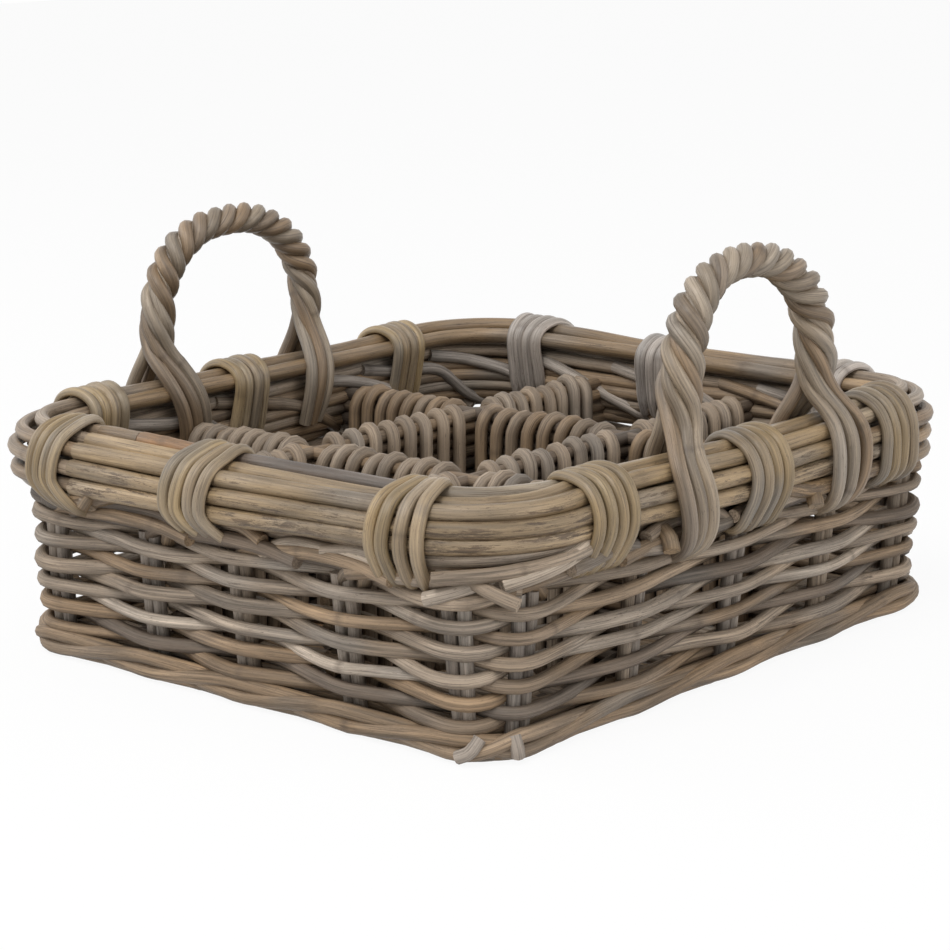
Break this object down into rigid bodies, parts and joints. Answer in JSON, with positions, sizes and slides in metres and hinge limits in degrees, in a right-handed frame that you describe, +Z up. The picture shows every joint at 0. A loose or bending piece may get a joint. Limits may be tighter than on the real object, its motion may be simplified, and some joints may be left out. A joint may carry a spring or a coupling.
{
  "type": "rattan caddy basket",
  "caption": "Low rectangular woven rattan caddy with a bound cane rim, a twisted arch handle at each side and crossing dividers that make compartments.",
  "frame": {"origin": "centre of the base on the floor, under the middle of the basket", "axes": "+Z up, +X towards the wall with the right handle, +Y along the longer side; the two handles stand on the walls across X"},
  "size_m": [0.3864, 0.4144, 0.2245],
  "materials": {
    "weave": "weathered peeled rattan rods, matte, grey brown with lengthwise striations",
    "stake": "weathered rattan stakes, matte, darker grey brown",
    "cane": "rattan cane with its skin on, satin, yellow tan with brown bark patches",
    "binding": "split rattan strip, satin, olive grey tan",
    "grip": "twisted rattan rods, satin, grey brown",
    "divider": "weathered rattan rods, matte",
    "wrapping": "wound rattan rods, matte, grey brown"
  },
  "bodies": {
    "root": {"base_panel": "weave", "foot_wale": "weave", "woven_wall": "weave", "rim_border": "weave", "rim_cane_crown": "cane", "rim_cane_shoulder": "cane", "rim_cane_inner": "cane", "rim_cane_outer_1": "cane", "rim_cane_outer_2": "cane", "rim_cane_outer_3": "cane", "stake_pair_front_1": "stake", "stake_pair_front_2": "stake", "stake_pair_front_3": "stake", "stake_pair_front_4": "stake", "stake_pair_front_5": "stake", "stake_pair_right_1": "stake", "stake_pair_right_2": "stake", "stake_pair_right_3": "stake", "stake_pair_right_4": "stake", "stake_pair_right_5": "stake", "stake_pair_back_1": "stake", "stake_pair_back_2": "stake", "stake_pair_back_3": "stake", "stake_pair_back_4": "stake", "stake_pair_back_5": "stake", "stake_pair_left_1": "stake", "stake_pair_left_2": "stake", "stake_pair_left_3": "stake", "stake_pair_left_4": "stake", "stake_pair_left_5": "stake", "rim_band_front_1": "binding", "rim_band_front_2": "binding", "rim_band_front_3": "binding", "rim_band_right_1": "binding", "rim_band_right_2": "binding", "rim_band_right_3": "binding", "rim_band_back_1": "binding", "rim_band_back_2": "binding", "rim_band_back_3": "binding", "rim_band_left_1": "binding", "rim_band_left_2": "binding", "rim_band_left_3": "binding", "handle_right": "grip", "handle_left": "grip", "divider_long_1": "divider", "divider_long_wrap_1": "wrapping", "divider_long_2": "divider", "divider_long_wrap_2": "wrapping", "divider_cross_1": "divider", "divider_cross_wrap_1": "wrapping", "divider_cross_2": "divider", "divider_cross_wrap_2": "wrapping"}
  },
  "joints": []
}
